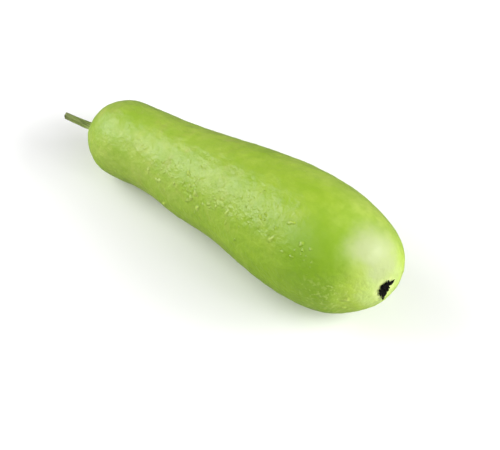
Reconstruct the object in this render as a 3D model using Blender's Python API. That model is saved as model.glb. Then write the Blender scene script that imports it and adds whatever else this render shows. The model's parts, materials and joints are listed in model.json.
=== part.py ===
"""A bottle gourd of the long, club-shaped kind, as picked and lying on its side.

The fruit lies along X with its stem to -X and its blossom end to +X. It touches
the surface z = 0 with two small flat spots, under the neck and under the belly.
The origin is at the bottom centre of the whole gourd's box.
"""

import math
import random

import bmesh
import bpy
from mathutils import Vector

# Driving dimensions of the fruit, in metres.
LENGTH = 0.285
NECK_RADIUS = 0.0317
BELLY_RADIUS = 0.0476
SWAY = 0.0096
FLAT_DEPTH = 0.0005

# Places along the fruit, as shares of its length from the stem end.
STEM_CAP = 0.124
NECK_END = 0.204
BELLY_AT = 0.733
BLOSSOM_CAP = 0.261
STEM_CAP_POWER = 2.0
BLOSSOM_CAP_POWER = 2.24

# The blossom end leans away from the fruit's near side.
END_LEAN = 0.0027
LEAN_AT = 0.93
LEAN_SPREAD = 0.08

# The stem and the blossom sit a little to the near side of the ends' middles.
STEM_SHIFT = 0.0020
BLOSSOM_SHIFT = 0.0026
SHIFT_BLEND = 0.8

# A low swelling on the near flank, with a shallow hollow before and after it.
FLANK_HEIGHT = 0.0019
FLANK_AT = 0.354
FLANK_WAVE = 0.38
FLANK_SPREAD = 0.215
FLANK_ANGLE = math.radians(-32)

# The three seed chambers show as three faint broad ribs.
RIB_COUNT = 3
RIB_HEIGHT = 0.0004
RIB_TURN = math.radians(50)

# The soft hollows that hold the stem and the dried blossom.
STEM_HOLLOW_DEPTH = 0.0028
STEM_HOLLOW_RADIUS = 0.0080
BLOSSOM_HOLLOW_DEPTH = 0.0012
BLOSSOM_HOLLOW_RADIUS = 0.0050

# The stem, 29 mm from its rim to its cut end.
STEM_LENGTH = 0.029
STEM_RADIUS = 0.0030
STEM_TAPER = 0.16
STEM_FOOT_FLARE = 0.60
STEM_FOOT_LENGTH = 0.0032
STEM_RIDGES = 5
STEM_RIDGE_SHARE = 0.10
STEM_TWIST = math.radians(35)
STEM_RISE = 0.0017
PITH_RADIUS = 0.0010
PITH_DEPTH = 0.0012

# The dried blossom: a corky button with withered lobes lying close round it. Their
# reaches run round from the near side over the top: the far ones have shrivelled
# away, one long one points up and back, and one hangs down.
BUTTON_RADIUS = 0.0034
BUTTON_HEIGHT = 0.0016
LOBE_REACHES = (
    0.0064, 0.0076, 0.0082, 0.0086, 0.0092, 0.0102,
    0.0044, 0.0036, 0.0036, 0.0096, 0.0076, 0.0058,
)
LOBE_TURN = math.radians(4)
LOBE_WIDTH = (0.0032, 0.0042)
LOBE_THICKNESS = 0.0009
LOBE_CLEARANCE = 0.0009
LOBE_CURL = (0.0003, 0.0013)
LOBE_SEED = 11

# Neighbouring pieces keep this gap.
GAP = 0.0003

# Fineness of the meshes.
FRUIT_SIDES = 64
STEM_CAP_RINGS = 13
BODY_RINGS = 30
BLOSSOM_CAP_RINGS = 17
STEM_SIDES = 40
STEM_RINGS = 14
LOBE_SIDES = 6
LOBE_RINGS = 8
SETTLE_STEPS = 8


def smooth_step(value):
    """0 before 0, 1 after 1, and an even S between."""
    value = min(max(value, 0.0), 1.0)
    return value * value * (3 - 2 * value)


def body_radius(share):
    """Radius of the fruit at a share of its length, leaving its rounded ends out."""
    swell = smooth_step((share - NECK_END) / (BELLY_AT - NECK_END))
    return NECK_RADIUS + (BELLY_RADIUS - NECK_RADIUS) * swell


def centre_at(share, heights):
    """Point of the fruit's curved centreline; heights are those at the neck and at the belly."""
    from_middle = share - 0.5
    lean = math.exp(-(((share - LEAN_AT) / LEAN_SPREAD) ** 2))
    rise = (heights[1] - heights[0]) / (BELLY_AT - NECK_END)
    return Vector((
        from_middle * LENGTH,
        SWAY * (1 - 4 * from_middle**2) + END_LEAN * lean,
        heights[0] + rise * (share - NECK_END),
    ))


def directions_at(share, heights):
    """Unit vectors along the centreline, sideways to its near side, and up."""
    step = 0.001
    along = (centre_at(share + step, heights) - centre_at(share - step, heights)).normalized()
    side = along.cross(Vector((0, 0, 1))).normalized()
    return along, side, side.cross(along)


def relief(share, angle):
    """Height of the swelling and the ribs over a plain round section."""
    distance = share - FLANK_AT
    wave = math.cos(math.tau * distance / FLANK_WAVE) * math.exp(-((distance / FLANK_SPREAD) ** 2))
    facing = max(0.0, math.cos(angle - FLANK_ANGLE)) ** 2
    return FLANK_HEIGHT * wave * facing + RIB_HEIGHT * math.cos(RIB_COUNT * angle + RIB_TURN)


def hollow(radius, depth, width):
    """How far the soft hollow at an end takes the skin in, at a distance from its middle."""
    return depth * math.exp(-((radius / width) ** 2))


def cap_angles(count):
    """Angles round a rounded end, from near its pole to just short of the body, closer at the pole."""
    return [math.pi / 2 * (step / count) ** 1.3 for step in range(1, count)]


def ring_places():
    """(share of the length, share of the full radius) of each ring, from the stem end."""
    places = []
    for angle in cap_angles(STEM_CAP_RINGS):
        fullness = math.sin(angle) ** (2 / STEM_CAP_POWER)
        places.append((STEM_CAP * (1 - math.cos(angle) ** (2 / STEM_CAP_POWER)), fullness))
    for step in range(BODY_RINGS + 1):
        places.append((STEM_CAP + (1 - STEM_CAP - BLOSSOM_CAP) * step / BODY_RINGS, 1.0))
    for angle in reversed(cap_angles(BLOSSOM_CAP_RINGS)):
        fullness = math.sin(angle) ** (2 / BLOSSOM_CAP_POWER)
        places.append((1 - BLOSSOM_CAP * (1 - math.cos(angle) ** (2 / BLOSSOM_CAP_POWER)), fullness))
    return places


def cap_centre(share, fullness, heights):
    """Middle of a ring of skin: on the centreline, but shifted to the near side at the poles."""
    side = directions_at(share, heights)[1]
    shift = STEM_SHIFT if share < 0.5 else BLOSSOM_SHIFT
    return centre_at(share, heights) + side * shift * (1 - smooth_step(fullness / SHIFT_BLEND))


def skin_point(share, fullness, angle, heights):
    """Point of the skin before it is flattened where it rests."""
    along, side, up = directions_at(share, heights)
    radius = fullness * (body_radius(share) + relief(share, angle) * fullness)
    inwards = hollow(radius, STEM_HOLLOW_DEPTH, STEM_HOLLOW_RADIUS) if share < 0.5 else (
        -hollow(radius, BLOSSOM_HOLLOW_DEPTH, BLOSSOM_HOLLOW_RADIUS))
    outwards = side * math.cos(angle) + up * math.sin(angle)
    return cap_centre(share, fullness, heights) + outwards * radius + along * inwards


def skin_ring(share, fullness, heights):
    """One ring of the skin's points."""
    angles = [math.tau * step / FRUIT_SIDES for step in range(FRUIT_SIDES)]
    return [skin_point(share, fullness, angle, heights) for angle in angles]


def resting_heights():
    """Centreline heights that sink the neck and the belly FLAT_DEPTH below the surface."""
    heights = [NECK_RADIUS, BELLY_RADIUS]
    middle = (NECK_END + BELLY_AT) / 2
    for _ in range(SETTLE_STEPS):
        lowest = [math.inf, math.inf]
        for share, fullness in ring_places():
            low = min(point.z for point in skin_ring(share, fullness, heights))
            half = 0 if share < middle else 1
            lowest[half] = min(lowest[half], low)
        heights = [height - low - FLAT_DEPTH for height, low in zip(heights, lowest)]
    return heights


def closed_loft(name, rings, first, last):
    """A closed mesh over rings of equal count, drawn together to a point at each end."""
    work = bmesh.new()
    rows = [[work.verts.new(point) for point in ring] for ring in rings]
    start, end = work.verts.new(first), work.verts.new(last)
    for row, after in zip(rows, rows[1:]):
        for k in range(len(row)):
            work.faces.new((row[k - 1], row[k], after[k], after[k - 1]))
    for k in range(len(rows[0])):
        work.faces.new((start, rows[0][k], rows[0][k - 1]))
        work.faces.new((end, rows[-1][k - 1], rows[-1][k]))
    bmesh.ops.recalc_face_normals(work, faces=work.faces)
    mesh = bpy.data.meshes.new(name)
    work.to_mesh(mesh)
    work.free()
    mesh.shade_smooth()
    return mesh


def link(name, mesh, collection=None):
    """An object of the mesh in the scene, or in another collection."""
    made = bpy.data.objects.new(name, mesh)
    (collection or bpy.context.scene.collection).objects.link(made)
    return made


def plain_material(name, colour, roughness):
    """A Principled material of one colour, not metallic."""
    material = bpy.data.materials.new(name)
    material.use_nodes = True
    shader = material.node_tree.nodes["Principled BSDF"]
    shader.inputs["Base Color"].default_value = (*colour, 1)
    shader.inputs["Roughness"].default_value = roughness
    shader.inputs["Metallic"].default_value = 0
    return material


def make_fruit(heights):
    """The whole fruit, flattened a little where it touches the surface."""
    rings = [skin_ring(share, fullness, heights) for share, fullness in ring_places()]
    for ring in rings:
        for point in ring:
            point.z = max(point.z, 0.0)
    ends = [skin_point(share, 0, 0, heights) for share in (0, 1)]
    fruit = link("fruit", closed_loft("fruit", rings, *ends))
    fruit.data.materials.append(plain_material("skin", (0.33, 0.50, 0.07), 0.35))
    return fruit


def stem_seat(radius):
    """How far in from the stem end's plane the skin lies, at a distance from the axis."""
    across = min(radius / NECK_RADIUS, 1.0) ** STEM_CAP_POWER
    setback = STEM_CAP * LENGTH * (1 - (1 - across) ** (1 / STEM_CAP_POWER))
    return setback + hollow(radius, STEM_HOLLOW_DEPTH, STEM_HOLLOW_RADIUS)


def blossom_seat(radius):
    """How far in from the blossom end's plane the skin lies, at a distance from the axis."""
    across = min(radius / BELLY_RADIUS, 1.0) ** BLOSSOM_CAP_POWER
    setback = BLOSSOM_CAP * LENGTH * (1 - (1 - across) ** (1 / BLOSSOM_CAP_POWER))
    return setback + hollow(radius, BLOSSOM_HOLLOW_DEPTH, BLOSSOM_HOLLOW_RADIUS)


def stem_radius(height, angle):
    """Radius of the ridged stem at a height above its rim."""
    share = height / STEM_LENGTH
    foot = STEM_FOOT_FLARE * math.exp(-((height / STEM_FOOT_LENGTH) ** 2))
    ridge = STEM_RIDGE_SHARE * math.cos(STEM_RIDGES * (angle + STEM_TWIST * share))
    return STEM_RADIUS * (1 - STEM_TAPER * share + foot) * (1 + ridge)


def make_stem(heights):
    """The cut stem, ridged and very slightly curved, standing on the skin in its hollow."""
    along, side, up = directions_at(0, heights)
    seat = cap_centre(0, 0, heights)
    angles = [math.tau * step / STEM_SIDES for step in range(STEM_SIDES)]
    rim = GAP - stem_seat(STEM_RADIUS * (1 + STEM_FOOT_FLARE))

    def point(distance, radius, angle):
        """Point at a distance out from the fruit's end plane and a radius from the stem's middle."""
        rise = STEM_RISE * (distance / STEM_LENGTH) ** 2
        across = side * math.cos(angle) + up * math.sin(angle)
        return seat - along * distance + up * rise + across * radius

    def foot_ring(width_share):
        """The underside follows the skin, a gap away from it."""
        radii = [width_share * stem_radius(0, angle) for angle in angles]
        return [point(GAP - stem_seat(radius), radius, angle) for radius, angle in zip(radii, angles)]

    def pith_ring(height, radius):
        return [point(rim + height, radius, angle) for angle in angles]

    heights_up = [STEM_LENGTH * (step / STEM_RINGS) ** 1.5 for step in range(1, STEM_RINGS + 1)]
    rings = [foot_ring(0.5), foot_ring(1.0)]
    rings += [[point(rim + height, stem_radius(height, a), a) for a in angles] for height in heights_up]
    rings += [pith_ring(STEM_LENGTH, PITH_RADIUS), pith_ring(STEM_LENGTH - PITH_DEPTH, 0.6 * PITH_RADIUS)]
    ends = point(GAP - stem_seat(0), 0, 0), point(rim + STEM_LENGTH - PITH_DEPTH, 0, 0)
    stem = link("stem", closed_loft("stem", rings, *ends))
    stem.data.materials.append(plain_material("stem", (0.26, 0.31, 0.13), 0.75))
    return stem


def make_blossom(heights):
    """The dried blossom: a corky button fused with withered lobes of unequal length."""
    along, side, up = directions_at(1, heights)
    pole = cap_centre(1, 0, heights)
    chance = random.Random(LOBE_SEED)

    def on_end(radius, angle, height):
        """Point over the blossom end, at a height above its skin."""
        across = side * math.cos(angle) + up * math.sin(angle)
        return pole + across * radius + along * (height - blossom_seat(radius))

    def button():
        angles = [math.tau * step / 20 for step in range(20)]
        top = BUTTON_HEIGHT
        outline = [(0.5, GAP), (1.0, GAP), (1.0, 0.6 * top), (0.75, top), (0.4, 0.8 * top)]
        rings = [[on_end(share * BUTTON_RADIUS, a, height) for a in angles] for share, height in outline]
        return closed_loft("button", rings, on_end(0, 0, GAP), on_end(0, 0, 0.9 * BUTTON_HEIGHT))

    def lobe(number):
        angle = LOBE_TURN + math.tau * (number + chance.uniform(-0.10, 0.10)) / len(LOBE_REACHES)
        reach = LOBE_REACHES[number]
        width = chance.uniform(*LOBE_WIDTH)
        curl = chance.uniform(*LOBE_CURL)
        swerve = chance.uniform(-0.25, 0.25)
        twist = chance.uniform(-1.0, 1.0)
        path = []
        for step in range(LOBE_RINGS + 3):
            share = step / (LOBE_RINGS + 2)
            radius = 0.0012 + (reach - 0.0012) * share
            path.append(on_end(radius, angle + swerve * share**2, LOBE_CLEARANCE + curl * share**2))
        rings = []
        for step in range(1, LOBE_RINGS + 2):
            share = step / (LOBE_RINGS + 2)
            forward = (path[step + 1] - path[step - 1]).normalized()
            level = forward.cross(along).normalized()
            thick = level.cross(forward)
            turn = twist * share**2
            flat = level * math.cos(turn) + thick * math.sin(turn)
            deep = thick * math.cos(turn) - level * math.sin(turn)
            half_width = 0.5 * width * (1 - share**3) ** 0.8 * (1 + 0.22 * math.sin(9 * share + angle))
            half_depth = 0.5 * LOBE_THICKNESS
            rings.append([
                path[step] + flat * half_width * math.cos(a) + deep * half_depth * math.sin(a)
                for a in (math.tau * k / LOBE_SIDES for k in range(LOBE_SIDES))
            ])
        return closed_loft("lobe", rings, path[0], path[-1])

    lobes = bpy.data.collections.new("lobes")
    bpy.context.scene.collection.children.link(lobes)
    for number in range(len(LOBE_REACHES)):
        link("lobe", lobe(number), lobes)
    blossom = link("dried_blossom", button())
    blossom.data.materials.append(plain_material("dried_blossom", (0.012, 0.010, 0.007), 0.85))
    join_collection(blossom, lobes)
    return blossom


def join_collection(body, collection):
    """Fuses the collection's objects into the body with one Boolean union, and removes them."""
    union = body.modifiers.new("join", "BOOLEAN")
    union.operation = "UNION"
    union.operand_type = "COLLECTION"
    union.collection = collection
    union.solver = "EXACT"
    graph = bpy.context.evaluated_depsgraph_get()
    joined = bpy.data.meshes.new_from_object(body.evaluated_get(graph))
    body.modifiers.clear()
    body.data = joined
    for helper in list(collection.objects):
        bpy.data.objects.remove(helper)
    bpy.data.collections.remove(collection)


def centre_on_origin(pieces):
    """Carries the pieces on an empty that puts the origin at the bottom centre of their box."""
    points = [vertex.co for piece in pieces for vertex in piece.data.vertices]
    middle = [(min(p[axis] for p in points) + max(p[axis] for p in points)) / 2 for axis in (0, 1)]
    gourd = bpy.data.objects.new("bottle_gourd", None)
    bpy.context.scene.collection.objects.link(gourd)
    gourd.location = (-middle[0], -middle[1], 0)
    for piece in pieces:
        piece.parent = gourd


def main():
    for existing in list(bpy.data.objects):
        bpy.data.objects.remove(existing)
    heights = resting_heights()
    centre_on_origin([make_fruit(heights), make_stem(heights), make_blossom(heights)])


main()
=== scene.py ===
"""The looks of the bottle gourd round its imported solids: fine skin, stem and dried blossom."""

import json
import math
import random

import bpy
import numpy as np
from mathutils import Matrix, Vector, noise

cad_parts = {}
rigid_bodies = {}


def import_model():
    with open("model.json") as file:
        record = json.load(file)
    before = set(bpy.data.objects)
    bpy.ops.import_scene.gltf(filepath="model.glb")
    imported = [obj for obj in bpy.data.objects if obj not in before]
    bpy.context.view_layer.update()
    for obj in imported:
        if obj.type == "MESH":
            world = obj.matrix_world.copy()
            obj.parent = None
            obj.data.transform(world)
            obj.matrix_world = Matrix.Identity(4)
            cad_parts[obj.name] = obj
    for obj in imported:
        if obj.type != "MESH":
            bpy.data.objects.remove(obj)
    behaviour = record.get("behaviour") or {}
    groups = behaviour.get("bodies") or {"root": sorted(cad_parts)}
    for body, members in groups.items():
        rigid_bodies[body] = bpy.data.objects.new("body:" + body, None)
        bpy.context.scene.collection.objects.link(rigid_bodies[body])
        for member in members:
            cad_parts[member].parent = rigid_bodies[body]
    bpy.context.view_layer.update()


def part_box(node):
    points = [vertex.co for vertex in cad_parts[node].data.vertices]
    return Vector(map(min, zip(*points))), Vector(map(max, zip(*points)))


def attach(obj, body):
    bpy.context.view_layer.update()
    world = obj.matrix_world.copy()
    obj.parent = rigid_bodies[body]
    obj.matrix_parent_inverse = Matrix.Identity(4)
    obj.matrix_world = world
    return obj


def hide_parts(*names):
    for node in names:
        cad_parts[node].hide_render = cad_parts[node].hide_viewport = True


# The fruit's form, the same as that of its solid, in metres and shares of its length.
LENGTH = 0.285
NECK_RADIUS = 0.0317
BELLY_RADIUS = 0.0476
SWAY = 0.0096
FLAT_DEPTH = 0.0005
STEM_CAP = 0.124
NECK_END = 0.204
BELLY_AT = 0.733
BLOSSOM_CAP = 0.261
STEM_CAP_POWER = 2.0
BLOSSOM_CAP_POWER = 2.24
END_LEAN = 0.0027
LEAN_AT = 0.93
LEAN_SPREAD = 0.08
STEM_SHIFT = 0.0020
BLOSSOM_SHIFT = 0.0026
SHIFT_BLEND = 0.8
FLANK_HEIGHT = 0.0019
FLANK_AT = 0.354
FLANK_WAVE = 0.38
FLANK_SPREAD = 0.215
FLANK_ANGLE = math.radians(-32)
RIB_COUNT = 3
RIB_HEIGHT = 0.0004
RIB_TURN = math.radians(50)
STEM_HOLLOW = (0.0028, 0.0080)
BLOSSOM_HOLLOW = (0.0012, 0.0050)

# The stem and the dried blossom, as in their solids.
STEM_LENGTH = 0.029
STEM_RADIUS = 0.0030
STEM_TAPER = 0.16
STEM_FOOT_FLARE = 0.60
STEM_FOOT_LENGTH = 0.0032
STEM_RIDGES = 5
STEM_RIDGE_SHARE = 0.10
STEM_TWIST = math.radians(35)
STEM_RISE = 0.0017
BUTTON_RADIUS = 0.0034
BUTTON_HEIGHT = 0.0016
LOBE_REACHES = (
    0.0064, 0.0076, 0.0082, 0.0086, 0.0092, 0.0102,
    0.0044, 0.0036, 0.0036, 0.0096, 0.0076, 0.0058,
)
LOBE_TURN = math.radians(4)
LOBE_WIDTH = (0.0032, 0.0042)
LOBE_CLEARANCE = 0.0009
LOBE_CURL = (0.0003, 0.0013)
LOBE_SEED = 11

# Finer detail of the stem: how far its foot is sunk in the skin and its width there, fibres
# as a share of the radius with their count and phase, a slow wobble as height and size, and
# the cut end's rings as shares of the radius and depths, the share within which they are
# rounder, its pit and how far it is torn.
STEM_SINK = 0.0012
STEM_SUNK_SHARE = 0.9
STEM_FIBRES = ((0.022, 15, 1.3), (0.012, 31, 0.0))
STEM_WOBBLE = (0.00012, 0.006)
CUT_RINGS = ((0.96, -0.0001), (0.80, 0.0), (0.60, 0.0003), (0.42, 0.0007), (0.25, 0.0012))
CUT_PIT = 0.0013
CUT_ROUNDER_WITHIN = 0.5
CUT_TEAR = 0.00022
CUT_TEAR_SCALES = (3, 7)

# Finer detail of the dried blossom: the button's outline from rim to tip by shares of its
# radius and height, and its crumpling as height and size. For the lobes, where they start,
# how far they stray, swerve and twist, and their wavy sides, folds, frayed edge and crumpling.
BUTTON_OUTLINE = (
    (1.04, -0.25), (1.06, 0.2), (1.0, 0.6), (0.92, 0.85), (0.75, 1.0), (0.58, 0.92),
    (0.45, 0.72), (0.33, 0.7), (0.27, 1.1), (0.22, 1.5), (0.15, 1.62),
)
BUTTON_TIP = 1.6
BUTTON_CRUMPLE = (0.00035, 0.0016)
BUTTON_CRUMPLE_LEAST = 0.3
LOBE_ROOT = 0.0012
LOBE_SCATTER = 0.10
LOBE_SWERVE = 0.25
LOBE_TWIST = 1.0
LOBE_BLUNTNESS = 0.8
LOBE_WAVES = (0.22, 9)
LOBE_EDGE_DEPTH = 0.00018
LOBE_MIDRIB_DEPTH = 0.00016
LOBE_FOLD = (0.00022, 5.5, 3)
LOBE_FRAY = (0.16, 14, 2, 3.7)
LOBE_CRUMPLE = (0.00025, 0.0014)

# Each finer layer of the smooth noise has this share of the last one's height, and this
# many times its fineness.
LAYER_SHARE = 0.5
LAYER_FINENESS = 2.03

# Fine relief of the skin, in metres, and how far its noises are moved to differ.
WAVE_HEIGHT = 0.00026
WAVE_SIZE = 0.040
DIMPLE_HEIGHT = 0.00034
DIMPLE_SIZE = 0.010
DIMPLE_SHIFT = (1, 7, 2)
RIPPLE_HEIGHT = 0.00026
RIPPLE_SIZE = 0.0064
RIPPLE_SHIFT = (5, 3, 1)

# The smooth top and far side of the blossom half: where it begins along the fruit and how
# far its skin faces up or back, each as a pair from rough to smooth, and the relief left.
SMOOTH_FROM = (0.68, 0.84)
SMOOTH_UPWARD = (0.40, 0.75)
SMOOTH_RELIEF = 0.25

# Pimples: a band of them runs along one flank, by share of the length and angle, with
# fine ones just above it. Each kind has a count, radii, how far above the band's middle
# it lies and its spread about it, in degrees, and its height as a share of its radius.
# They thin out beyond a reach from the middle share, but for a few strays, and in patches.
# The steps, in share and angle, are those at which the skin's slope and bend are taken.
PIMPLE_BAND = ((0.10, 44), (0.35, 36), (0.60, 45), (0.78, 47), (0.87, 25), (0.95, -9))
COARSE_PIMPLES = (48, (0.0014, 0.0030), -4, 12, 0.34)
FINE_PIMPLES = (84, (0.0010, 0.0018), 7, 17, 0.16)
PIMPLE_MIDDLE = 0.53
PIMPLE_REACH = 0.29
PIMPLE_STRAYS = 0.006
PIMPLE_SHARES = (0.10, 0.96)
PIMPLE_PATCH_SCALE = 45
PIMPLE_PATCHES = (-0.4, 0.3)
PIMPLE_LOWEST = 0.004
PIMPLE_GAP = 0.0026
PIMPLE_STEPS = (0.002, 0.01)
PIMPLE_BEND_STEPS = (0.004, 0.03)
PIMPLE_STRETCH = (0.8, 1.3)
PIMPLE_OUTLINE = (0.20, 0.15)
PIMPLE_SINK = 0.00006
PIMPLE_SEED = 5

# Colours below are as seen, from 0 to 255. A noise is a size, detail and roughness. An edge is
# the size, detail and height of the noise that makes it uneven, and the noise's middle. A
# fade is two values of what it follows and its own value at each of them.

# The greens along the fruit, from the stem's end to the blossom's, and how far they wander.
SKIN_GREENS = (
    (0.00, (167, 190, 80)),
    (0.16, (164, 189, 74)),
    (0.45, (162, 189, 66)),
    (0.72, (160, 189, 56)),
    (0.88, (171, 198, 80)),
    (1.00, (174, 197, 88)),
)
GREENS_EDGE = (0.06, 2, 0.16, 0.5)

# Markings all over the skin: a noise, the values between which it sets in, a strength and a
# colour. The grain and the finest relief weaken where the skin faces up.
GREEN_PATCHES = (0.026, 4, 0.55, 0.40, 0.66, 0.46, (138, 176, 30))
YELLOW_PATCHES = (0.021, 3, 0.50, 0.50, 0.74, 0.34, (184, 200, 88))
YELLOW_STRETCH = (0.6, 1, 1)
STAINS = (0.014, 3, 0.60, 0.54, 0.70, 1.0, (170, 172, 88))
STAINS_ALONG = (0.35, 0.75, 0.32, 0.06)
MOTTLE = (0.0085, 3, 0.50, 0.38, 0.62, 0.30, (132, 172, 28))
GRAIN = (0.0036, 3, 0.55, 0.38, 0.62, 0.20, (126, 166, 26))
GRAIN_UPWARD = (0.45, 0.95, 1.3, 0.6)

# The painted shade and painted green bounce light of the belly's flank, a deeper green; the
# painted light of the neck's flank, the far side and the underside, each paler: fades by how
# far the skin faces up or back, along the fruit or by height, and a colour.
BELLY_FLANK_UPWARD = (0.15, 0.85, 1.0, 0.0)
BELLY_FLANK_ALONG = (0.30, 0.85, 0.10, 0.60)
BELLY_FLANK_PAINTED_SHADE = (138, 178, 14)
NECK_FLANK_UPWARD = (0.15, 0.70, 1.0, 0.0)
NECK_FLANK_UNDER = (0.05, 0.40, 0.0, 1.0)
NECK_FLANK_ALONG = (0.25, 0.70, 0.30, 0.0)
NECK_FLANK_PAINTED_LIGHT = (186, 198, 104)
FAR_SIDE_BACKWARD = (0.05, 0.55, 0.0, 0.35)
FAR_SIDE_FROM = (0.50, 0.72, 0.0, 1.0)
FAR_SIDE_TO = (0.86, 0.96, 1.0, 0.3)
FAR_SIDE_PAINTED_LIGHT = (196, 214, 104)
UNDERSIDE_HEIGHT = (0.004, 0.030, 0.15, 0.0)
UNDERSIDE_PAINTED_LIGHT = (186, 206, 96)

# Zones round a point: an edge, the distances at which the zone begins and ends to fade, a
# strength and a colour. The painted shade lies on the near side of the belly, by shares of the
# fruit's box; the painted highlight is above the blossom and measured from it.
END_EDGE = (0.015, 3, 0.018, 0.5)
PAINTED_SHADE_AT = (0.835, 0.13, 0.80)
PAINTED_SHADE_ZONE = ((0.022, 3, 0.020, 0.0), 0.018, 0.052, 0.78, (126, 168, 8))
GREEN_HALO = (END_EDGE, 0.020, 0.046, 0.90, (182, 210, 70))
PALE_HALO = (END_EDGE, 0.015, 0.027, 0.95, (189, 214, 112))
PAINTED_HIGHLIGHT_SHIFT = (-0.0095, 0.0025, 0.0270)
PAINTED_HIGHLIGHT_ZONE = (END_EDGE, 0.010, 0.035, 0.94, (178, 191, 128))
PAINTED_HIGHLIGHT_BACKWARD = (-0.56, -0.30, 0.30, 1.0)
SCAR_RING = ((0.004, 2, 0.004, 0.0), 0.009, 0.015, 0.45, (226, 238, 158))
STEM_RING = ((0.003, 2, 0.003, 0.0), 0.006, 0.012, 0.60, (196, 214, 132))

# Scurfy pale flecks on the flank round the blossom's end.
FLECKS = (0.0032, 2, 0.60, 0.52, 0.66, 1.0, (198, 218, 108))
FLECKS_REACH = (0.052, 0.074, 0.42, 0.0)
FLECKS_UPWARD = (0.2, 0.6, 1.0, 0.0)

# The skin's sheen: a noise, the roughness it fades between and what the painted highlight's
# zone adds to it; how strongly, in which colour and how deep light spreads below the skin.
SKIN_ROUGH_NOISE = (0.011, 4, 0.6)
SKIN_ROUGH = (0.3, 0.7, 0.31, 0.47)
PAINTED_HIGHLIGHT_ROUGH = 0.07
SKIN_IOR = 1.50
SKIN_GLOW = 0.12
SKIN_GLOW_COLOUR = (0.9, 1.0, 0.25)
SKIN_GLOW_DEPTH = 0.004

# The skin's finest relief: a noise, a strength and a depth. It is coarser on the near side's
# upper half between neck and belly.
PEEL = ((0.0036, 2, 0.5), 1.0, 0.00062)
PORES = ((0.0012, 2, 0.5), 0.4, 0.00010)
COARSER_BY = 0.6
COARSER_UPWARD = (0.40, 0.65, 0.0, 1.0)
COARSER_BACKWARD = (-0.35, -0.05, 1.0, 0.0)
COARSER_FROM = (0.20, 0.38, 0.0, 1.0)
COARSER_TO = (0.68, 0.80, 1.0, 0.0)

# How strong the painted highlight on the tops of the largest pimples is, and how this falls off with their
# size.
PIMPLE_PAINTED_HIGHLIGHT = 0.36
PIMPLE_HIGHLIGHT_POWER = 1.6
PIMPLE_HIGHLIGHT_COLOUR = (222, 236, 136)

# The stem: greens from its foot to its cut, fibres as markings drawn out along it, brown
# spots, the roughness between and on the fibres, and its finest relief.
STEM_GREENS = (
    (0.00, (164, 182, 98)),
    (0.18, (138, 158, 74)),
    (0.60, (132, 150, 68)),
    (0.90, (116, 124, 70)),
    (0.97, (70, 66, 50)),
)
STEM_REACH = 0.030
DARK_FIBRES = (0.0017, 4, 0.60, 0.42, 0.62, 0.75, (62, 76, 32))
DARK_FIBRES_STRETCH = (0.07, 1, 1)
PALE_FIBRES = (0.0016, 3, 0.60, 0.52, 0.70, 0.40, (176, 186, 118))
PALE_FIBRES_STRETCH = (0.10, 1, 1)
PALE_FIBRES_TURN = 0.4
SPOT_SIZE = 0.0022
SPOT_FADE = (0.08, 0.22, 0.35, 0.0)
SPOT_BROWN = (70, 66, 40)
STEM_ROUGH = (0.0, 1.0, 0.62, 0.80)
STEM_GRAIN = ((0.0007, 4, 0.6), 0.8, 0.00030)
STEM_GRAIN_STRETCH = (0.06, 1, 1)

# The dried blossom: near-blacks from its folds to its ridges, browner tips, its roughness and
# its finest wrinkles.
BLOSSOM_NOISE = (0.0016, 4, 0.6)
BLOSSOM_FADE = (0.3, 0.75, 0.0, 1.0)
BLOSSOM_BLACKS = (
    (0.0, (5, 4, 3)),
    (0.7, (12, 10, 8)),
    (1.0, (34, 28, 20)),
)
BLOSSOM_TIPS = (0.007, 0.011, 0.0, 0.35)
BLOSSOM_TIP_BROWN = (44, 35, 24)
BLOSSOM_ROUGH_NOISE = (0.002, 3, 0.5)
BLOSSOM_ROUGH = (0.3, 0.7, 0.55, 0.85)
BLOSSOM_SHINE = 0.15
BLOSSOM_WRINKLES = ((0.0006, 5, 0.65), 0.8, 0.00035)

# Fineness of the fine meshes, and how often the fruit is lowered until it rests.
SKIN_SIDES = 330
STEM_CAP_RINGS = 62
BODY_RINGS = 150
BLOSSOM_CAP_RINGS = 82
CAP_CROWDING = 1.3
RESTING_ROUNDS = 8
PIMPLE_RINGS = 7
PIMPLE_SIDES = 16
STEM_SIDES = 120
STEM_ROWS = 90
STEM_ROW_CROWDING = 1.25
BUTTON_SIDES = 72
LOBE_STEPS = 40
LOBE_SIDES = 28

# Studio lights round the fruit, all at one distance and aimed at its middle: azimuth and
# elevation in degrees, width and height in metres, power in watts.
LIGHT_DISTANCE = 1.25
LIGHT_TARGET = (0.0, 0.0, 0.05)
SKY_STRENGTH = 0.15
LIGHTS = {
    "left_box": (-66, 37, 1.00, 0.85, 10.3),
    "left_inner": (-45, 32, 0.60, 0.50, 1.5),
    "left_low": (-75, 13, 0.90, 0.40, 3.3),
    "front_left": (-20, 35, 0.90, 0.70, 1.8),
    "right_back": (126, 31, 0.55, 0.55, 6.7),
    "right_box": (105, 30, 0.62, 0.62, 7.3),
    "right_high": (80, 42, 0.70, 0.70, 4.4),
}

# The floor: how far it reaches each way, how far below the fruit it lies, and its two tones.
FLOOR_REACH = 3
FLOOR_DROP = 0.0001
FLOOR_NOISE = (0.4, 2)
FLOOR_MOTTLE = 0.3
FLOOR_PALE = (0.93, 0.93, 0.93, 1.0)
FLOOR_GREY = (0.90, 0.90, 0.90, 1.0)
FLOOR_ROUGH = 0.9

# Camera, aimed beside the fruit's middle: so far to the right and, as a minus, downwards.
CAMERA_CENTRE = (0, 0, 0.04)
CAMERA_SENSOR = 36
CAMERA_AZIMUTH = 39.037
CAMERA_ELEVATION = 52.149
CAMERA_DISTANCE = 1.3002
CAMERA_LENS = 122.75
CAMERA_AIM = (0.01780, -0.02634)


# ---------------------------------------------------------------- the fruit's form


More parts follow.
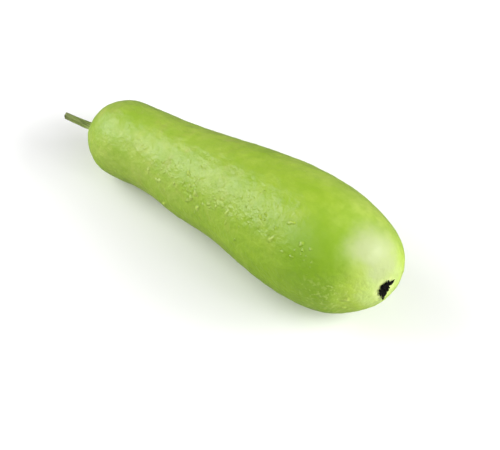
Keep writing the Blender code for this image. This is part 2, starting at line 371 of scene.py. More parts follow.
def smooth_step(value):
    """An even rise from 0 to 1."""
    value = np.clip(value, 0.0, 1.0)
    return value * value * (3 - 2 * value)


def body_radius(share):
    """The radius at a share of the length, without the ends' rounding."""
    swell = smooth_step((share - NECK_END) / (BELLY_AT - NECK_END))
    return NECK_RADIUS + (BELLY_RADIUS - NECK_RADIUS) * swell


def centre_at(share, heights):
    """The middle line's point at a share of the length, for its heights at neck and belly."""
    from_middle = share - 0.5
    lean = np.exp(-(((share - LEAN_AT) / LEAN_SPREAD) ** 2))
    rise = (heights[1] - heights[0]) / (BELLY_AT - NECK_END)
    return np.stack([
        from_middle * LENGTH,
        SWAY * (1 - 4 * from_middle**2) + END_LEAN * lean,
        heights[0] + rise * (share - NECK_END),
    ], -1)


def unit(vectors):
    """Vectors of the same directions and length 1."""
    return vectors / np.linalg.norm(vectors, axis=-1, keepdims=True)


def directions_at(share, heights):
    """Unit vectors along the middle line, to its side and upwards."""
    step = 0.001
    along = unit(centre_at(share + step, heights) - centre_at(share - step, heights))
    side = unit(np.cross(along, (0.0, 0.0, 1.0)))
    return along, side, np.cross(side, along)


def relief(share, angle):
    """The near flank's swelling and the three faint ribs."""
    distance = share - FLANK_AT
    wave = np.cos(math.tau * distance / FLANK_WAVE) * np.exp(-((distance / FLANK_SPREAD) ** 2))
    facing = np.maximum(0.0, np.cos(angle - FLANK_ANGLE)) ** 2
    return FLANK_HEIGHT * wave * facing + RIB_HEIGHT * np.cos(RIB_COUNT * angle + RIB_TURN)


def hollow(radius, depth, width):
    """How deep the soft hollow round an end's middle is at a radius."""
    return depth * np.exp(-((radius / width) ** 2))


def cap_centre(share, fullness, heights):
    """The middle of a ring; it moves aside towards each end's tip."""
    side = directions_at(share, heights)[1]
    shift = np.where(share < 0.5, STEM_SHIFT, BLOSSOM_SHIFT) * (1 - smooth_step(fullness / SHIFT_BLEND))
    return centre_at(share, heights) + side * shift[..., None]


def skin_points(share, fullness, angle, heights):
    """Points of the plain skin for arrays of shares, fullnesses and angles."""
    along, side, up = directions_at(share, heights)
    radius = fullness * (body_radius(share) + relief(share, angle) * fullness)
    inwards = np.where(share < 0.5, hollow(radius, *STEM_HOLLOW), -hollow(radius, *BLOSSOM_HOLLOW))
    outwards = side * np.cos(angle)[..., None] + up * np.sin(angle)[..., None]
    return cap_centre(share, fullness, heights) + outwards * radius[..., None] + along * inwards[..., None]


def cap_angles(count):
    """Angles of a cap's rings, crowded towards its tip."""
    return (np.arange(1, count) / count) ** CAP_CROWDING * math.pi / 2


def ring_places():
    """Arrays of each ring's share of the length and share of the full radius."""
    first = cap_angles(STEM_CAP_RINGS)
    last = cap_angles(BLOSSOM_CAP_RINGS)[::-1]
    body = STEM_CAP + (1 - STEM_CAP - BLOSSOM_CAP) * np.linspace(0, 1, BODY_RINGS + 1)
    shares = np.concatenate([
        STEM_CAP * (1 - np.cos(first) ** (2 / STEM_CAP_POWER)),
        body,
        1 - BLOSSOM_CAP * (1 - np.cos(last) ** (2 / BLOSSOM_CAP_POWER)),
    ])
    fullness = np.concatenate([
        np.sin(first) ** (2 / STEM_CAP_POWER),
        np.ones(len(body)),
        np.sin(last) ** (2 / BLOSSOM_CAP_POWER),
    ])
    return shares, fullness


def skin_grid(heights):
    """The plain skin as rings by sides of points."""
    shares, fullness = ring_places()
    angles = math.tau * np.arange(SKIN_SIDES) / SKIN_SIDES
    share = np.repeat(shares[:, None], SKIN_SIDES, 1)
    full = np.repeat(fullness[:, None], SKIN_SIDES, 1)
    angle = np.repeat(angles[None, :], len(shares), 0)
    return skin_points(share, full, angle, heights), share


def resting_heights():
    """Heights of the middle line at which neck and belly both just touch the floor."""
    heights = np.array([NECK_RADIUS, BELLY_RADIUS])
    for _ in range(RESTING_ROUNDS):
        points, share = skin_grid(heights)
        middle = (NECK_END + BELLY_AT) / 2
        low = np.array([points[share < middle][:, 2].min(), points[share >= middle][:, 2].min()])
        heights = heights - low - FLAT_DEPTH
    return heights


def fractal(point, size, layers):
    """Smooth noise of about -1 to 1 at a point, its largest waves of a given size."""
    total, share, scale = 0.0, 1.0, 1.0 / size
    for _ in range(layers):
        total += share * noise.noise(point * scale)
        share *= LAYER_SHARE
        scale *= LAYER_FINENESS
    return total


def end_distance(radius, cap, power, full_radius):
    """How far the rounded end has fallen back from its tip at a radius."""
    across = np.minimum(radius / full_radius, 1.0) ** power
    return cap * LENGTH * (1 - (1 - across) ** (1 / power))


def stem_seat(radius):
    """How far the skin lies behind the stem end's tip at a radius."""
    return end_distance(radius, STEM_CAP, STEM_CAP_POWER, NECK_RADIUS) + hollow(radius, *STEM_HOLLOW)


def blossom_seat(radius):
    """How far the skin lies behind the blossom end's tip at a radius."""
    back = end_distance(radius, BLOSSOM_CAP, BLOSSOM_CAP_POWER, BELLY_RADIUS)
    return back + hollow(radius, *BLOSSOM_HOLLOW)


# ---------------------------------------------------------------- meshes


def make_object(name, points, faces, smooth=True):
    """A new object with a mesh of its own."""
    mesh = bpy.data.meshes.new(name)
    mesh.from_pydata([tuple(p) for p in points], [], [tuple(f) for f in faces])
    mesh.validate()
    if smooth:
        mesh.shade_smooth()
    made = bpy.data.objects.new(name, mesh)
    bpy.context.scene.collection.objects.link(made)
    return made


def loft_faces(rows, sides, start):
    """Quads between rows of points, for rings numbered on from start."""
    k = np.arange(sides)
    after = (k + 1) % sides
    faces = []
    for row in range(rows - 1):
        a, b = start + row * sides, start + (row + 1) * sides
        faces.append(np.stack([a + k, a + after, b + after, b + k], -1))
    return np.concatenate(faces).tolist()


def closed_loft(rings, first, last, start=0):
    """Points and faces of a body over rings of equal count, drawn to a point at each end."""
    rows, sides = len(rings), len(rings[0])
    points = [p for ring in rings for p in ring] + [first, last]
    faces = loft_faces(rows, sides, start)
    head, tail = start + rows * sides, start + rows * sides + 1
    base = start + (rows - 1) * sides
    for k in range(sides):
        after = (k + 1) % sides
        faces.append((start + after, start + k, head))
        faces.append((base + k, base + after, tail))
    return points, faces


def skin_relief(points, share, normals):
    """How far the dimples, ripples and waves lift the plain skin at arrays of points."""
    flat = points.reshape(-1, 3)
    fine = np.array([
        DIMPLE_HEIGHT * fractal(Vector(p) + Vector(DIMPLE_SHIFT), DIMPLE_SIZE, 1)
        + RIPPLE_HEIGHT * fractal(Vector(p) + Vector(RIPPLE_SHIFT), RIPPLE_SIZE, 2)
        for p in flat
    ]).reshape(share.shape)
    waves = WAVE_HEIGHT * np.array([fractal(Vector(p), WAVE_SIZE, 2) for p in flat]).reshape(share.shape)
    facing = np.maximum(normals[..., 1], normals[..., 2])
    smooth = smooth_step((share - SMOOTH_FROM[0]) / (SMOOTH_FROM[1] - SMOOTH_FROM[0]))
    smooth *= smooth_step((facing - SMOOTH_UPWARD[0]) / (SMOOTH_UPWARD[1] - SMOOTH_UPWARD[0]))
    return fine * (1 - (1 - SMOOTH_RELIEF) * smooth) + waves


def make_skin(heights, offset):
    """The fruit's skin with its long waves, its dimples and its ripple."""
    points, share = skin_grid(heights)
    normals = unit(np.cross(np.roll(points, -1, 1) - np.roll(points, 1, 1), np.gradient(points, axis=0)))
    outward = points - cap_centre(share, np.ones_like(share), heights)
    normals *= np.sign((normals * outward).sum(-1, keepdims=True))
    points = points + normals * skin_relief(points, share, normals)[..., None]
    points[..., 2] = np.maximum(points[..., 2], 0.0)
    poles = skin_points(np.array([0.0, 1.0]), np.zeros(2), np.zeros(2), heights)
    vertices, faces = closed_loft(points + offset, poles[0] + offset, poles[1] + offset)
    return make_object("fruit_skin", vertices, faces)


def pimple_places(heights):
    """Share, angle, radius, height, nearby points, stretch, turn and unevenness of each pimple."""
    chance = random.Random(PIMPLE_SEED)
    band_shares, band_angles = np.array(PIMPLE_BAND).T
    placed = []
    for count, radii, above, spread, steepness in (COARSE_PIMPLES, FINE_PIMPLES):
        wanted = len(placed) + count
        while len(placed) < wanted:
            share = chance.uniform(*PIMPLE_SHARES)
            angle = chance.uniform(0, math.tau)
            size = radii[0] + (radii[1] - radii[0]) * chance.random() ** 2
            middle_angle = math.radians(np.interp(share, band_shares, band_angles) + above)
            off_place = (share - PIMPLE_MIDDLE) / PIMPLE_REACH
            off_angle = math.remainder(angle - middle_angle, math.tau) / math.radians(spread)
            crowding = PIMPLE_STRAYS + (1 - PIMPLE_STRAYS) * math.exp(-off_place**2 - off_angle**2)
            if chance.random() > crowding:
                continue
            near_shares = share + np.array([0.0, PIMPLE_STEPS[0], 0.0])
            near_angles = angle + np.array([0.0, 0.0, PIMPLE_STEPS[1]])
            near = plain_point(near_shares, near_angles, heights)
            patch = noise.noise(Vector(near[0]) * PIMPLE_PATCH_SCALE)
            if patch < chance.uniform(*PIMPLE_PATCHES) or near[0][2] < PIMPLE_LOWEST:
                continue
            if any(np.linalg.norm(near[0] - other[4][0]) < PIMPLE_GAP for other in placed):
                continue
            stretch = chance.uniform(*PIMPLE_STRETCH)
            lean, phase = chance.uniform(0, math.tau), chance.uniform(0, math.tau)
            placed.append((share, angle, size, size * steepness, near, stretch, lean, phase))
    return placed


def make_pimples(heights, offset):
    """Low pimples that rise out of the skin's own relief; the tops of the larger ones carry the strongest
    painted highlight.
    """
    rings, sides = PIMPLE_RINGS, PIMPLE_SIDES
    radial = np.repeat(np.arange(1, rings + 1) / rings, sides)
    turn = np.tile(math.tau * np.arange(sides) / sides, rings)
    radial, turn = np.append(radial, 0.0), np.append(turn, 0.0)
    bell = (1 - radial**2) ** 2
    largest = COARSE_PIMPLES[1][1]
    oval, knobbly = PIMPLE_OUTLINE
    points, faces, peaks = [], [], []
    for share, angle, size, tall, near, stretch, lean, phase in pimple_places(heights):
        middle = near[0]
        first, second = unit(near[1] - middle), unit(near[2] - middle)
        normal = unit(np.cross(second, first))
        if normal @ (middle - centre_at(np.array(share), heights)) < 0:
            normal = -normal
        second = np.cross(normal, first)
        outline = 1 + oval * np.cos(2 * turn + phase) + knobbly * np.cos(3 * turn - 2 * phase)
        reach = size * radial * outline
        u = reach * np.cos(turn) * stretch
        v = reach * np.sin(turn) / stretch
        du = u * math.cos(lean) - v * math.sin(lean)
        dv = u * math.sin(lean) + v * math.cos(lean)
        drop = surface_bend(share, angle, first, second, normal, middle, heights)(du, dv)
        plain = middle + du[:, None] * first + dv[:, None] * second - drop[:, None] * normal
        lift = skin_relief(plain, share + du / LENGTH, np.broadcast_to(normal, plain.shape))
        rise = lift + tall * bell - PIMPLE_SINK * radial**4
        start = len(points)
        points.extend(plain + rise[:, None] * normal)
        # Each point's share of the painted highlight on the pimples' tops.
        peaks.extend(bell * (size / largest) ** PIMPLE_HIGHLIGHT_POWER)
        faces += loft_faces(rings, sides, start)
        for k in range(sides):
            faces.append((start + rings * sides, start + (k + 1) % sides, start + k))
        faces.append(tuple(range(start + (rings - 1) * sides, start + rings * sides)))
    outward_faces = [tuple(reversed(face)) for face in faces]
    pimples = make_object("skin_pimples", np.array(points) + offset, outward_faces)
    pimples.data.attributes.new("peak", "FLOAT", "POINT").data.foreach_set("value", peaks)
    return pimples


def plain_point(share, angle, heights):
    """Points of the skin with their fullness worked out from their share of the length."""
    near_stem = np.clip(1 - share / STEM_CAP, 0, 1) ** STEM_CAP_POWER
    near_blossom = np.clip(1 - (1 - share) / BLOSSOM_CAP, 0, 1) ** BLOSSOM_CAP_POWER
    fullness = (1 - near_stem) ** (1 / STEM_CAP_POWER)
    fullness = fullness * (1 - near_blossom) ** (1 / BLOSSOM_CAP_POWER)
    return skin_points(share, fullness, angle, heights)


def surface_bend(share, angle, first, second, normal, middle, heights):
    """How far the skin falls away from its tangent plane near a point, as a function."""
    share_step, angle_step = PIMPLE_BEND_STEPS
    tiny = 1e-12
    shares = share + np.array([share_step, -share_step, 0.0, 0.0])
    angles = angle + np.array([0.0, 0.0, angle_step, -angle_step])
    around = plain_point(shares, angles, heights) - middle
    drops = -(around @ normal)
    reach_u = (around @ first) ** 2
    reach_v = (around @ second) ** 2
    bend_u = (drops[0] + drops[1]) / max(reach_u[0] + reach_u[1], tiny)
    bend_v = (drops[2] + drops[3]) / max(reach_v[2] + reach_v[3], tiny)
    return lambda du, dv: bend_u * du * du + bend_v * dv * dv


def stem_radius(height, angle):
    """The stem's radius at a height above its foot, with its twisted ridges and fibres."""
    share = max(height, 0.0) / STEM_LENGTH
    foot = STEM_FOOT_FLARE * math.exp(-((height / STEM_FOOT_LENGTH) ** 2))
    turned = angle + STEM_TWIST * share
    ridge = STEM_RIDGE_SHARE * math.cos(STEM_RIDGES * turned)
    fibre = sum(depth * math.cos(count * turned + phase) for depth, count, phase in STEM_FIBRES)
    return STEM_RADIUS * (1 - STEM_TAPER * share + foot) * (1 + ridge + fibre)


def make_stem(heights, offset):
    """The ridged stem, its foot sunk in the skin and its cut end torn a little."""
    along, side, up = directions_at(np.array(0.0), heights)
    seat = cap_centre(np.array(0.0), np.array(0.0), heights) + offset
    rim = -float(stem_seat(STEM_RADIUS * (1 + STEM_FOOT_FLARE)))
    top = rim + STEM_LENGTH
    angles = [math.tau * k / STEM_SIDES for k in range(STEM_SIDES)]
    wobble_height, wobble_size = STEM_WOBBLE

    def point(distance, radius, angle):
        rise = STEM_RISE * (distance / STEM_LENGTH) ** 2
        across = side * math.cos(angle) + up * math.sin(angle)
        place = seat - along * distance + up * rise + across * radius
        wobble = wobble_height * fractal(Vector(place), wobble_size, 2)
        return place + across * wobble

    rings = [[point(rim - STEM_SINK, STEM_SUNK_SHARE * stem_radius(0, a), a) for a in angles]]
    for step in range(STEM_ROWS + 1):
        height = STEM_LENGTH * (step / STEM_ROWS) ** STEM_ROW_CROWDING
        rings.append([point(rim + height, stem_radius(height, a), a) for a in angles])
    around, across = CUT_TEAR_SCALES
    for inward, sink in CUT_RINGS:
        ring = []
        for a in angles:
            radius = inward * stem_radius(STEM_LENGTH, a)
            if inward < CUT_ROUNDER_WITHIN:
                radius = (radius + inward * STEM_RADIUS) / 2
            tear_at = Vector((math.cos(a) * around, math.sin(a) * around, inward * across))
            torn = CUT_TEAR * noise.noise(tear_at)
            ring.append(point(top - sink + torn, radius, a))
        rings.append(ring)
    vertices, faces = closed_loft(rings, point(rim - STEM_SINK, 0, 0), point(top - CUT_PIT, 0, 0))
    return make_object("stem_fine", vertices, faces)


def make_blossom(heights, offset):
    """The dried blossom: crumpled black lobes round a corky button with the stub of its style."""
    along, side, up = (Vector(v) for v in directions_at(np.array(1.0), heights))
    pole = Vector(cap_centre(np.array(1.0), np.array(0.0), heights) + offset)
    chance = random.Random(LOBE_SEED)
    points, faces = [], []

    def on_end(radius, angle, height):
        across = side * math.cos(angle) + up * math.sin(angle)
        return pole + across * radius + along * (height - float(blossom_seat(radius)))

    def add(rings, first, last):
        new_points, new_faces = closed_loft(rings, first, last, len(points))
        points.extend(new_points)
        faces.extend(new_faces)

    def button():
        angles = [math.tau * k / BUTTON_SIDES for k in range(BUTTON_SIDES)]
        crumple_height, crumple_size = BUTTON_CRUMPLE
        rings = []
        for share, raised in BUTTON_OUTLINE:
            ring = []
            for a in angles:
                place = on_end(share * BUTTON_RADIUS, a, raised * BUTTON_HEIGHT)
                crumple = crumple_height * fractal(place, crumple_size, 3)
                crumple *= min(1.0, share + BUTTON_CRUMPLE_LEAST)
                ring.append(place + along * crumple + (place - pole).normalized() * crumple)
            rings.append(ring)
        foot = BUTTON_OUTLINE[0][1] * BUTTON_HEIGHT
        add(rings, on_end(0, 0, foot), on_end(0, 0, BUTTON_TIP * BUTTON_HEIGHT))

    def lobe(number):
        scattered = number + chance.uniform(-LOBE_SCATTER, LOBE_SCATTER)
        angle = LOBE_TURN + math.tau * scattered / len(LOBE_REACHES)
        reach = LOBE_REACHES[number]
        width = chance.uniform(*LOBE_WIDTH)
        curl = chance.uniform(*LOBE_CURL)
        swerve = chance.uniform(-LOBE_SWERVE, LOBE_SWERVE)
        twist = chance.uniform(-LOBE_TWIST, LOBE_TWIST)
        crumple_height, crumple_size = LOBE_CRUMPLE
        fold_height, folds, slant = LOBE_FOLD
        wave_height, waves = LOBE_WAVES
        fray, lengthwise, crosswise, apart = LOBE_FRAY
        path = []
        for step in range(LOBE_STEPS + 3):
            share = step / (LOBE_STEPS + 2)
            radius = LOBE_ROOT + (reach - LOBE_ROOT) * share
            path.append(on_end(radius, angle + swerve * share**2, LOBE_CLEARANCE + curl * share**2))
        rings = []
        for step in range(1, LOBE_STEPS + 2):
            share = step / (LOBE_STEPS + 2)
            forward = (path[step + 1] - path[step - 1]).normalized()
            level = forward.cross(along).normalized()
            thick = level.cross(forward)
            turn = twist * share**2
            flat = level * math.cos(turn) + thick * math.sin(turn)
            deep = thick * math.cos(turn) - level * math.sin(turn)
            wavy = 1 + wave_height * math.sin(waves * share + angle)
            half_width = 0.5 * width * (1 - share**3) ** LOBE_BLUNTNESS * wavy
            ring = []
            for k in range(LOBE_SIDES):
                a = math.tau * k / LOBE_SIDES
                u = math.cos(a)
                fold = fold_height * math.sin(folds * u + slant * share + number)
                tear = noise.noise(Vector((share * lengthwise, u * crosswise, number * apart)))
                half_depth = LOBE_EDGE_DEPTH + LOBE_MIDRIB_DEPTH * (1 - abs(u) ** 3)
                place = path[step] + flat * half_width * u * (1 + fray * tear)
                place += deep * (half_depth * math.sin(a) + fold * abs(u) ** 0.5 * math.copysign(1, u))
                ring.append(place + deep * crumple_height * fractal(place, crumple_size, 3))
            rings.append(ring)
        add(rings, path[0], path[-1])

    button()
    for number in range(len(LOBE_REACHES)):
        lobe(number)
    return make_object("dried_blossom_fine", points, faces)


# ---------------------------------------------------------------- materials


def linear(shade):
    """Linear colour, with its alpha, from three values of 0 to 255 as seen."""
    shares = (value / 255 for value in shade)
    return (*(c / 12.92 if c < 0.04045 else ((c + 0.055) / 1.055) ** 2.4 for c in shares), 1.0)


class Shader:
    """A Principled material, the colour built up for it and short ways to add nodes to it."""

    def __init__(self, name):
        self.material = bpy.data.materials.new(name)
        self.material.use_nodes = True
        self.tree = self.material.node_tree
        self.places = self.tree.nodes.new("ShaderNodeTexCoord").outputs
        self.colour = None

    def feed(self, socket, value):
        """Link a socket to another one, or set it to a plain value."""
        if isinstance(value, bpy.types.NodeSocket):
            self.tree.links.new(value, socket)
        else:
            socket.default_value = value

    def node(self, kind, inputs, **settings):
        """A new node of a kind, its inputs given by name or number."""
        made = self.tree.nodes.new("ShaderNode" + kind)
        for name, value in settings.items():
            setattr(made, name, value)
        for key, value in inputs.items():
            self.feed(made.inputs[key], value)
        return made

    def math(self, operation, *values):
        """The result of an operation on values."""
        return self.node("Math", dict(enumerate(values)), operation=operation).outputs[0]

    def plus(self, first, second):
        """The sum of two values."""
        return self.math("ADD", first, second)

    def times(self, product, *factors):
        """The product of several values."""
        for factor in factors:
            product = self.math("MULTIPLY", product, factor)
        return product

    def axis(self, letter):
        """A place's coordinate along an axis."""
        return self.node("SeparateXYZ", {0: self.places["Object"]}).outputs[letter]

    def facing(self, letter):
        """How far the skin faces along an axis, from -1 to 1."""
        return self.node("SeparateXYZ", {0: self.places["Normal"]}).outputs[letter]

    def distance(self, point):
        """How far a place is from a point."""
        ends = {0: self.places["Object"], 1: point}
        return self.node("VectorMath", ends, operation="DISTANCE").outputs["Value"]

    def attribute(self, name):
        """A value stored with the mesh."""
        return self.node("Attribute", {}, attribute_name=name).outputs["Fac"]

    def stretch(self, scales, turn=0.0):
        """Places stretched along each axis and turned about the first."""
        inputs = {"Vector": self.places["Object"], "Scale": scales, "Rotation": (turn, 0, 0)}
        return self.node("Mapping", inputs).outputs[0]

    def noise(self, size, detail, rough=0.5, places=None):
        """Noise from 0 to 1 with waves of a size, at places that may be stretched."""
        inputs = {"Scale": 1.0 / size, "Detail": detail, "Roughness": rough}
        inputs["Vector"] = places or self.places["Object"]
        return self.node("TexNoise", inputs).outputs["Fac"]

    def cells(self, size):
        """How far a place is from the nearest of points strewn a size apart."""
        inputs = {"Scale": 1.0 / size, "Vector": self.places["Object"]}
        return self.node("TexVoronoi", inputs).outputs["Distance"]

    def ragged(self, value, size, detail, height, middle):
        """A value made uneven by a noise."""
        swing = self.math("SUBTRACT", self.noise(size, detail), middle)
        return self.plus(value, self.times(swing, height))

    def fade(self, value, low, high, at_low=0.0, at_high=1.0, shape="SMOOTHSTEP"):
        """A change from one value to another between two values of what it follows."""
        inputs = dict(enumerate((value, low, high, at_low, at_high)))
        return self.node("MapRange", inputs, interpolation_type=shape).outputs["Result"]

    def fades(self, *pairs):
        """The product of several fades, each with what it follows."""
        return self.times(*(self.fade(value, *fade) for value, fade in pairs))

    def ramp(self, value, stops):
        """Colours in steps along a value."""
        node = self.node("ValToRGB", {"Fac": value})
        elements = node.color_ramp.elements
        while len(elements) < len(stops):
            elements.new(0.5)
        for element, (position, shade) in zip(elements, stops):
            element.position = position
            element.color = linear(shade)
        return node.outputs["Color"]

    def mix(self, amount, first, second):
        """A mixture of two linear colours."""
        node = self.node("Mix", {}, data_type="RGBA")
        sockets = [socket for socket in node.inputs if socket.enabled]
        for socket, value in zip(sockets, (amount, first, second)):
            self.feed(socket, value)
        return next(socket for socket in node.outputs if socket.enabled)

    def tint(self, shade, amount):
        """Draw the colour towards a shade."""
        self.colour = self.mix(amount, self.colour, linear(shade))

    def mark(self, marking, *factors, places=None):
        """Tint with a marking and return where it lies, from 0 to 1."""
        size, detail, rough, low, high, strength, shade = marking
        lies = self.fade(self.noise(size, detail, rough, places), low, high)
        self.tint(shade, self.times(lies, strength, *factors))
        return lies

    def zone(self, point, zone, *factors):
        """Tint a zone round a point and return how strongly."""
        edge, inner, outer, strength, shade = zone
        reach = self.ragged(self.distance(point), *edge)
        amount = self.times(self.fade(reach, inner, outer, strength, 0.0), *factors)
        self.tint(shade, amount)
        return amount

    def bump(self, height, strength, depth, after=None):
        """Relief of a height, on top of another relief."""
        inputs = {"Height": height, "Strength": strength, "Distance": depth}
        if after is not None:
            inputs["Normal"] = after
        return self.node("Bump", inputs).outputs["Normal"]

    def finish(self, **inputs):
        """The material with its colour and its other inputs in place."""
        sockets = self.tree.nodes["Principled BSDF"].inputs
        self.feed(sockets["Base Color"], self.colour)
        for name, value in inputs.items():
            self.feed(sockets[name.replace("_", " ")], value)
        return self.material


def colour_sides(s, share, upward, backward):
    """The greens along the fruit, its patches and stains, and the painted shade and light on its flanks and
    far side.
    """
    s.colour = s.ramp(s.ragged(share, *GREENS_EDGE), SKIN_GREENS)
    s.mark(GREEN_PATCHES)
    s.mark(YELLOW_PATCHES, places=s.stretch(YELLOW_STRETCH))
    # Painted shade and painted green bounce light: a deeper green where the belly's skin faces sideways or
    # down.
    belly_painted_shade = s.fades((upward, BELLY_FLANK_UPWARD), (share, BELLY_FLANK_ALONG))
    s.tint(BELLY_FLANK_PAINTED_SHADE, belly_painted_shade)
    # Painted light: the neck's flank paler where it faces sideways.
    neck_painted_light = s.fades((upward, NECK_FLANK_UPWARD), (share, NECK_FLANK_ALONG), (upward, NECK_FLANK_UNDER))
    s.tint(NECK_FLANK_PAINTED_LIGHT, neck_painted_light)
    # Painted light: the blossom half paler where its skin faces back.
    far_painted_light = s.fades((backward, FAR_SIDE_BACKWARD), (share, FAR_SIDE_FROM), (share, FAR_SIDE_TO))
    s.tint(FAR_SIDE_PAINTED_LIGHT, far_painted_light)
    s.mark(STAINS, s.fade(share, *STAINS_ALONG))


def colour_ends(s, upward, backward, stem_pole, blossom_pole):
    """The pale zones round the blossom and the stem, and a painted highlight above the blossom; returns how
    strongly that highlight is painted.
    """
    s.zone(blossom_pole, GREEN_HALO)
    s.zone(blossom_pole, PALE_HALO)
    reach = s.ragged(s.distance(blossom_pole), *END_EDGE)
    s.mark(FLECKS, s.fades((reach, FLECKS_REACH), (upward, FLECKS_UPWARD)))
    # Painted highlight: a whitish zone above the blossom, weaker where the skin faces the front.
    painted_highlight_at = tuple(place + shift for place, shift in zip(blossom_pole, PAINTED_HIGHLIGHT_SHIFT))
    painted_highlight = s.zone(painted_highlight_at, PAINTED_HIGHLIGHT_ZONE, s.fade(backward, *PAINTED_HIGHLIGHT_BACKWARD))
    s.zone(blossom_pole, SCAR_RING)
    s.zone(stem_pole, STEM_RING)
    return painted_highlight


def skin_bumps(s, share, upward, backward, uneven):
    """The skin's peel and pores, coarser on the near side and fainter on the smooth top."""
    coarser = s.fades(
        (upward, COARSER_UPWARD), (backward, COARSER_BACKWARD), (share, COARSER_FROM), (share, COARSER_TO)
    )
    smooth = s.fades((share, SMOOTH_FROM), (upward, SMOOTH_UPWARD))
    left_over = s.fade(smooth, 0.0, 1.0, 1.0, SMOOTH_RELIEF, shape="LINEAR")
    relief_left = s.times(s.plus(uneven, s.times(coarser, COARSER_BY)), left_over)
    bumps = None
    for grain, strength, depth in (PEEL, PORES):
        bumps = s.bump(s.times(s.noise(*grain), relief_left), strength, depth, bumps)
    return bumps


def skin_material(name, stem_pole, blossom_pole, pimple_highlight=0.0):
    """The skin; the pimples have the same one with a painted highlight on their tops."""
    s = Shader(name)
    low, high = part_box("fruit")
    share = s.math("DIVIDE", s.math("SUBTRACT", s.axis("X"), low.x), high.x - low.x)
    upward, backward = s.facing("Z"), s.facing("Y")
    uneven = s.fade(upward, *GRAIN_UPWARD)
    colour_sides(s, share, upward, backward)
    # Painted shade: a darker green patch on the near side of the belly.
    s.zone(tuple(a + (b - a) * at for a, b, at in zip(low, high, PAINTED_SHADE_AT)), PAINTED_SHADE_ZONE)
    s.mark(MOTTLE)
    s.mark(GRAIN, uneven)
    painted_highlight = colour_ends(s, upward, backward, stem_pole, blossom_pole)
    # Painted light from below: the skin paler low down.
    s.tint(UNDERSIDE_PAINTED_LIGHT, s.fade(s.axis("Z"), *UNDERSIDE_HEIGHT))
    # Painted highlight: the pimples' tops paler, the more so the larger they are.
    if pimple_highlight:
        s.tint(PIMPLE_HIGHLIGHT_COLOUR, s.times(s.attribute("peak"), pimple_highlight))
    rough = s.fade(s.noise(*SKIN_ROUGH_NOISE), *SKIN_ROUGH)
    # The painted highlight's zone above the blossom is also made rougher.
    return s.finish(
        Roughness=s.plus(rough, s.times(painted_highlight, PAINTED_HIGHLIGHT_ROUGH)),
        Normal=skin_bumps(s, share, upward, backward, uneven),
        IOR=SKIN_IOR,
        Subsurface_Weight=SKIN_GLOW,
        Subsurface_Radius=SKIN_GLOW_COLOUR,
        Subsurface_Scale=SKIN_GLOW_DEPTH,
    )


def stem_material(stem_pole):
    """The fibrous stem, darker towards its cut end."""
    s = Shader("gourd_stem")
    along = s.fade(s.distance(stem_pole), 0.0, STEM_REACH, shape="LINEAR")
    s.colour = s.ramp(along, STEM_GREENS)
    fibres = s.mark(DARK_FIBRES, places=s.stretch(DARK_FIBRES_STRETCH))
    s.mark(PALE_FIBRES, places=s.stretch(PALE_FIBRES_STRETCH, PALE_FIBRES_TURN))
    s.tint(SPOT_BROWN, s.fade(s.cells(SPOT_SIZE), *SPOT_FADE))
    grain, strength, depth = STEM_GRAIN
    ridged = s.bump(s.noise(*grain, s.stretch(STEM_GRAIN_STRETCH)), strength, depth)
    return s.finish(Roughness=s.fade(fibres, *STEM_ROUGH), Normal=ridged)


def blossom_material(blossom_pole):
    """Withered petals, near black with browner tips."""
    s = Shader("dried_blossom")
    s.colour = s.ramp(s.fade(s.noise(*BLOSSOM_NOISE), *BLOSSOM_FADE), BLOSSOM_BLACKS)
    s.tint(BLOSSOM_TIP_BROWN, s.fade(s.distance(blossom_pole), *BLOSSOM_TIPS))
    grain, strength, depth = BLOSSOM_WRINKLES
    return s.finish(
        Roughness=s.fade(s.noise(*BLOSSOM_ROUGH_NOISE), *BLOSSOM_ROUGH),
        Normal=s.bump(s.noise(*grain), strength, depth),
        Specular_IOR_Level=BLOSSOM_SHINE,
    )


def floor_material():
    """A matt floor of two near tones."""
    s = Shader("pale_floor")
    s.colour = s.mix(s.times(s.noise(*FLOOR_NOISE), FLOOR_MOTTLE), FLOOR_PALE, FLOOR_GREY)
    return s.finish(Roughness=FLOOR_ROUGH)


# ---------------------------------------------------------------- stage


def aim(thing, place, target):
    """Put a lamp or camera at a place, turned towards a target."""
    thing.location = place
    thing.rotation_euler = (Vector(place) - Vector(target)).to_track_quat("Z", "Y").to_euler()


def direction(azimuth, elevation):
    """The unit vector towards an azimuth from the front and an elevation, in degrees."""
    around, above = math.radians(azimuth), math.radians(elevation)
    return Vector((
        math.sin(around) * math.cos(above),
        -math.cos(around) * math.cos(above),
        math.sin(above),
    ))


def area_light(name, azimuth, elevation, width, height, power):
    """One rectangular light aimed at the fruit."""
    data = bpy.data.lights.new(name, "AREA")
    data.shape = "RECTANGLE"
    data.size, data.size_y = width, height
    data.energy = power
    lamp = bpy.data.objects.new(name, data)
    bpy.context.scene.collection.objects.link(lamp)
    aim(lamp, Vector(LIGHT_TARGET) + direction(azimuth, elevation) * LIGHT_DISTANCE, LIGHT_TARGET)


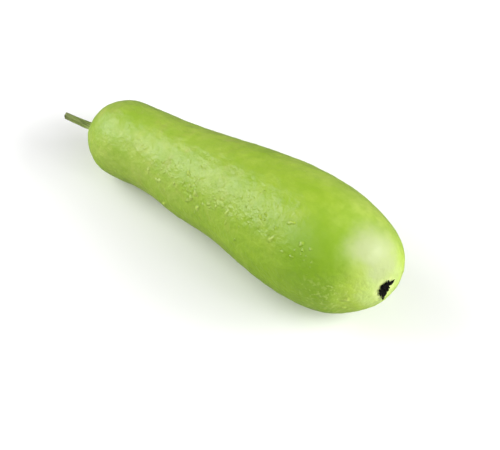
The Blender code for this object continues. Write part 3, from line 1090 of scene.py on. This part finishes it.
def make_stage():
    """A white sky, the floor and the lights."""
    world = bpy.data.worlds.new("studio")
    world.use_nodes = True
    background = world.node_tree.nodes["Background"]
    background.inputs["Color"].default_value = (1, 1, 1, 1)
    background.inputs["Strength"].default_value = SKY_STRENGTH
    bpy.context.scene.world = world
    corners = [(x * FLOOR_REACH, y * FLOOR_REACH, 0) for x, y in ((-1, -1), (1, -1), (1, 1), (-1, 1))]
    floor = make_object("floor", corners, [(0, 1, 2, 3)], smooth=False)
    floor.location.z = -FLOOR_DROP
    floor.data.materials.append(floor_material())
    floor.visible_glossy = False
    for name, values in LIGHTS.items():
        area_light(name, *values)


def make_camera():
    """The camera, looking down on the near side of the fruit."""
    back = direction(CAMERA_AZIMUTH, CAMERA_ELEVATION)
    right = Vector((-back.y, back.x, 0)).normalized()
    above = back.cross(right)
    target = Vector(CAMERA_CENTRE) + right * CAMERA_AIM[0] + above * CAMERA_AIM[1]
    data = bpy.data.cameras.new("camera")
    data.sensor_fit = "HORIZONTAL"
    data.sensor_width = CAMERA_SENSOR
    data.lens = CAMERA_LENS
    camera = bpy.data.objects.new("camera", data)
    bpy.context.scene.collection.objects.link(camera)
    aim(camera, target + back * CAMERA_DISTANCE, target)
    bpy.context.scene.camera = camera


# Only the fruit's own parts may count for its bounds.
for existing in list(bpy.data.objects):
    if existing.name in ("Cube", "Light", "Camera"):
        bpy.data.objects.remove(existing)
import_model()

heights = resting_heights()
box_low, box_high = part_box("fruit")
plain = skin_grid(heights)[0]
offset = np.array([
    (box_low.x + box_high.x - plain[..., 0].min() - plain[..., 0].max()) / 2,
    (box_low.y + box_high.y - plain[..., 1].min() - plain[..., 1].max()) / 2,
    0.0,
])
poles = cap_centre(np.array([0.0, 1.0]), np.zeros(2), heights) + offset
stem_pole, blossom_pole = (tuple(float(c) for c in pole) for pole in poles)

skin = make_skin(heights, offset)
pimples = make_pimples(heights, offset)
stem = make_stem(heights, offset)
blossom = make_blossom(heights, offset)
for piece, look, slot in (
    (skin, skin_material("gourd_skin", stem_pole, blossom_pole), "skin"),
    (pimples, skin_material("gourd_pimples", stem_pole, blossom_pole, PIMPLE_PAINTED_HIGHLIGHT), "skin"),
    (stem, stem_material(stem_pole), "stem"),
    (blossom, blossom_material(blossom_pole), "dried_blossom"),
):
    piece.data.materials.append(look)
    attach(piece, "root")
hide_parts("fruit")
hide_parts("stem")
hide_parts("dried_blossom")

make_stage()
make_camera()
bpy.context.scene.view_settings.view_transform = "Standard"
